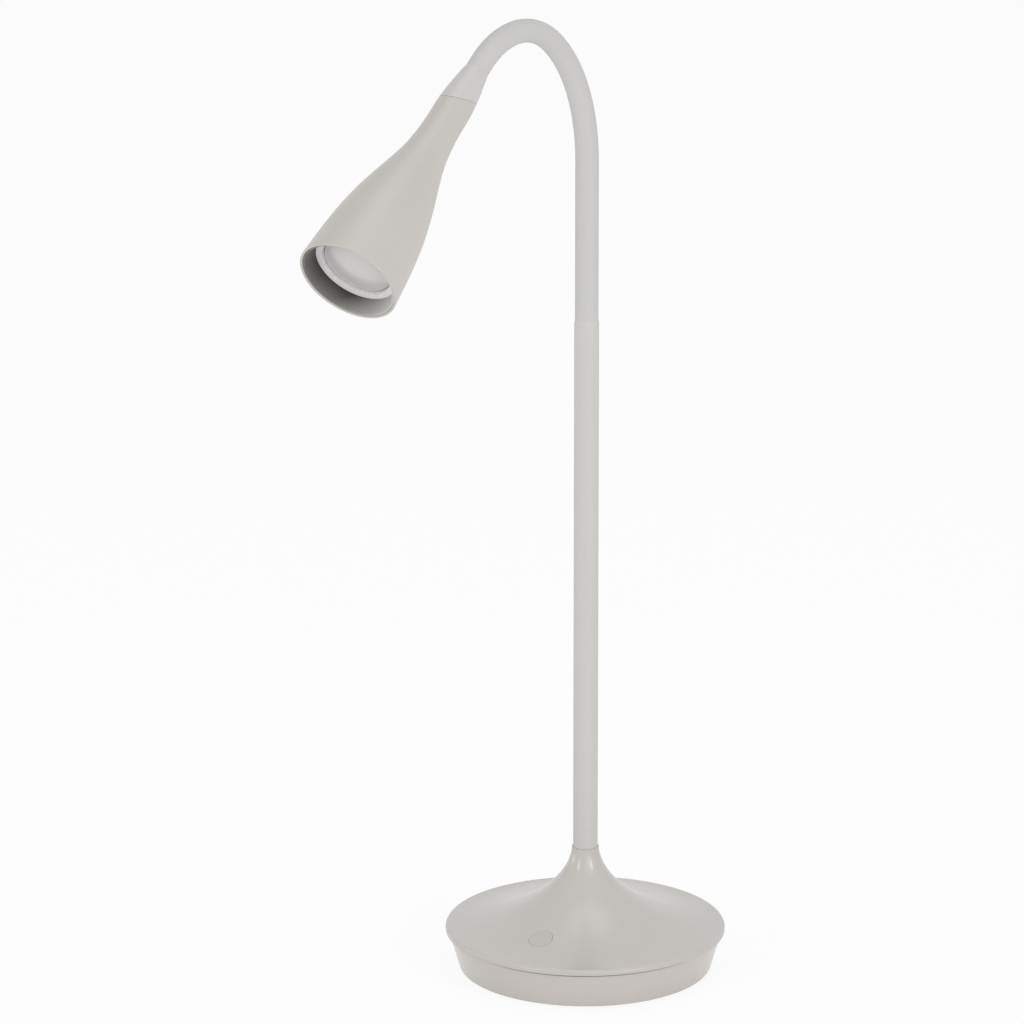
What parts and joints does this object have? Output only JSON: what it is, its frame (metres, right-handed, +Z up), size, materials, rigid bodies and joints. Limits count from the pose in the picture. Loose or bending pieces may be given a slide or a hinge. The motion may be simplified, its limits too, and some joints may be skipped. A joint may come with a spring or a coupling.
{
  "type": "led table lamp",
  "caption": "Gooseneck LED table lamp: round weighted base with a push button, straight stem, flexible neck and trumpet-shaped spot head.",
  "frame": {"origin": "centre of the foot pad's underside, on the table", "axes": "+Z up along the stem, the head reaches out along -Y, X across the lamp's plane of symmetry"},
  "size_m": [0.15, 0.3277, 0.5397],
  "materials": {
    "cover_plastic": "fine matt paint, warm grey",
    "pan_plastic": "fine matt paint, warm grey",
    "pad_rubber": "matt anti-slip sheet",
    "cast_weight": "as cast",
    "stem_steel": "powder coat, light grey",
    "plated_steel": "zinc plated",
    "sleeve_silicone": "smooth silicone, light grey",
    "core_steel": "wound steel",
    "board_laminate": "solder-masked laminate",
    "ferrite": "ferrite",
    "capacitor_can": "drawn can",
    "switch_plastic": "moulded",
    "gland_plastic": "moulded nylon, grey",
    "lead_jacket": "white jacket",
    "collar_plastic": "fine matt paint, light grey",
    "shade_paint": "matt powder coat, warm grey",
    "baffle_plastic": "moulded, dark grey",
    "ring_plastic": "translucent white",
    "lens_plastic": "frosted polycarbonate",
    "mirror_plastic": "metallised",
    "sink_aluminium": "as turned",
    "phosphor": "phosphor gel"
  },
  "bodies": {
    "base": {"base_pan": "pan_plastic", "foot_pad": "pad_rubber", "ballast": "cast_weight", "base_cover": "cover_plastic", "base_screws": "plated_steel", "stem_tube": "stem_steel", "stem_nipple": "plated_steel", "stem_washer": "plated_steel", "stem_nut": "plated_steel", "control_board": "board_laminate", "board_screws": "plated_steel", "board_choke": "ferrite", "board_capacitor": "capacitor_can", "switch_body": "switch_plastic", "cord_gland": "gland_plastic", "gland_nut": "gland_plastic", "cord_clamp": "gland_plastic", "clamp_screws": "plated_steel", "stem_lead": "lead_jacket", "neck_ferrule": "plated_steel", "neck_sleeve_0": "sleeve_silicone", "neck_core_0": "core_steel"},
    "button": {"power_button": "cover_plastic", "switch_plunger": "switch_plastic"},
    "neck_link_1": {"neck_sleeve_1": "sleeve_silicone", "neck_core_1": "core_steel"},
    "neck_link_2": {"neck_sleeve_2": "sleeve_silicone", "neck_core_2": "core_steel"},
    "neck_link_3": {"neck_sleeve_3": "sleeve_silicone", "neck_core_3": "core_steel"},
    "neck_link_4": {"neck_sleeve_4": "sleeve_silicone", "neck_core_4": "core_steel"},
    "neck_link_5": {"neck_sleeve_5": "sleeve_silicone", "neck_core_5": "core_steel"},
    "neck_link_6": {"neck_sleeve_6": "sleeve_silicone", "neck_core_6": "core_steel"},
    "neck_link_7": {"neck_sleeve_7": "sleeve_silicone", "neck_core_7": "core_steel"},
    "neck_link_8": {"neck_sleeve_8": "sleeve_silicone", "neck_core_8": "core_steel"},
    "neck_link_9": {"neck_sleeve_9": "sleeve_silicone", "neck_core_9": "core_steel"},
    "neck_link_10": {"neck_sleeve_10": "sleeve_silicone", "neck_core_10": "core_steel"},
    "head": {"head_collar": "collar_plastic", "end_ferrule": "plated_steel", "shade": "shade_paint", "glare_baffle": "baffle_plastic", "lens_ring": "ring_plastic", "lens": "lens_plastic", "reflector": "mirror_plastic", "led_board": "sink_aluminium", "led_emitter": "phosphor", "led_screws": "plated_steel", "heat_sink": "sink_aluminium", "module_screws": "plated_steel", "head_lead": "lead_jacket", "neck_sleeve_11": "sleeve_silicone", "neck_core_11": "core_steel"}
  },
  "joints": [
    {"name": "button_press", "type": "slide", "parent": "base", "child": "button", "axis": [0, 0, -1], "range_m": [0, 0.0008], "stiffness_N_per_m": 400, "springref_m": -0.002},
    {"name": "lower_bend_1", "type": "hinge", "parent": "base", "child": "neck_link_1", "pos_m": [0, 0, 0.372], "axis": [1, 0.0017, 0], "range_deg": [-18, 14]},
    {"name": "side_bend_1", "type": "hinge", "parent": "neck_link_1", "child": "neck_link_2", "pos_m": [0, 0, 0.394], "axis": [-0.0017, 1, 0], "range_deg": [-18, 18]},
    {"name": "lower_bend_2", "type": "hinge", "parent": "neck_link_2", "child": "neck_link_3", "pos_m": [0, 0, 0.41601], "axis": [1, 0.0017, 0], "range_deg": [-18, 14]},
    {"name": "side_bend_2", "type": "hinge", "parent": "neck_link_3", "child": "neck_link_4", "pos_m": [0, 0, 0.43801], "axis": [-0.0017, 1, 0], "range_deg": [-18, 18]},
    {"name": "arch_bend_1", "type": "hinge", "parent": "neck_link_4", "child": "neck_link_5", "pos_m": [0, -0.00092, 0.45997], "axis": [1, 0.0017, 0], "range_deg": [-14.99, 4.5]},
    {"name": "arch_bend_2", "type": "hinge", "parent": "neck_link_5", "child": "neck_link_6", "pos_m": [0, -0.0066, 0.48117], "axis": [1, 0.0017, 0], "range_deg": [-13.74, 4.12]},
    {"name": "arch_bend_3", "type": "hinge", "parent": "neck_link_6", "child": "neck_link_7", "pos_m": [0, -0.01715, 0.50042], "axis": [1, 0.0017, 0], "range_deg": [-13.74, 4.12]},
    {"name": "arch_bend_4", "type": "hinge", "parent": "neck_link_7", "child": "neck_link_8", "pos_m": [0, -0.03196, 0.51662], "axis": [1, 0.0017, 0], "range_deg": [-14.92, 4.48]},
    {"name": "arch_bend_5", "type": "hinge", "parent": "neck_link_8", "child": "neck_link_9", "pos_m": [0, -0.05046, 0.52836], "axis": [1, 0.0017, 0], "range_deg": [-19.35, 5.8]},
    {"name": "arch_bend_6", "type": "hinge", "parent": "neck_link_9", "child": "neck_link_10", "pos_m": [0, -0.07177, 0.5334], "axis": [1, 0.0017, 0], "range_deg": [-19.35, 5.8]},
    {"name": "arch_bend_7", "type": "hinge", "parent": "neck_link_10", "child": "head", "pos_m": [0, -0.09355, 0.53109], "axis": [1, 0.0017, 0], "range_deg": [-26.66, 8]}
  ],
  "couplings": [
    {"joint": "lower_bend_2", "follows": "lower_bend_1", "ratio": 1},
    {"joint": "side_bend_2", "follows": "side_bend_1", "ratio": 1},
    {"joint": "arch_bend_2", "follows": "arch_bend_1", "ratio": 0.91624},
    {"joint": "arch_bend_3", "follows": "arch_bend_1", "ratio": 0.91624},
    {"joint": "arch_bend_4", "follows": "arch_bend_1", "ratio": 0.99484},
    {"joint": "arch_bend_5", "follows": "arch_bend_1", "ratio": 1.29},
    {"joint": "arch_bend_6", "follows": "arch_bend_1", "ratio": 1.29},
    {"joint": "arch_bend_7", "follows": "arch_bend_1", "ratio": 1.7775}
  ]
}
